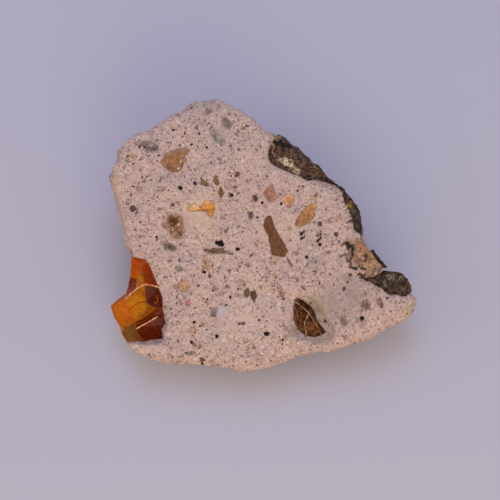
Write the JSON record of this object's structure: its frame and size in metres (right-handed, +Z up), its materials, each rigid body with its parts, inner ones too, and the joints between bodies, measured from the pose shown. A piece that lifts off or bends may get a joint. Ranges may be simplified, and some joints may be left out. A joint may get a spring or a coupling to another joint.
{
  "type": "fire opal in rhyolite hand specimen",
  "caption": "Broken lump of pinkish volcanic rock lying on its back, with a clear orange fire opal in a notch, an amber opal in a pocket and a dark glassy crust along one edge.",
  "frame": {"origin": "on the surface that the specimen lies on, under the middle of its box", "axes": "+X to the right across the broken face, +Y up the face and away from the viewer, +Z up; the face leans 15 degrees towards -Y"},
  "size_m": [0.0556, 0.0478, 0.02],
  "materials": {
    "rhyolite": "rough broken pinkish-beige volcanic rock with crystals, specks and pits",
    "fire_opal": "clear orange precious opal with conchoidal breaks",
    "amber_opal": "clear brown amber opal with conchoidal breaks",
    "dark_crust": "dark brown to black glassy crust",
    "dark_nodule": "mottled black and grey, rusty at its edge",
    "black_chip": "black and glassy"
  },
  "bodies": {
    "root": {"rhyolite": "rhyolite", "fire_opal": "fire_opal", "amber_opal": "amber_opal", "dark_crust": "dark_crust", "dark_nodule": "dark_nodule", "black_chip": "black_chip"}
  },
  "joints": []
}
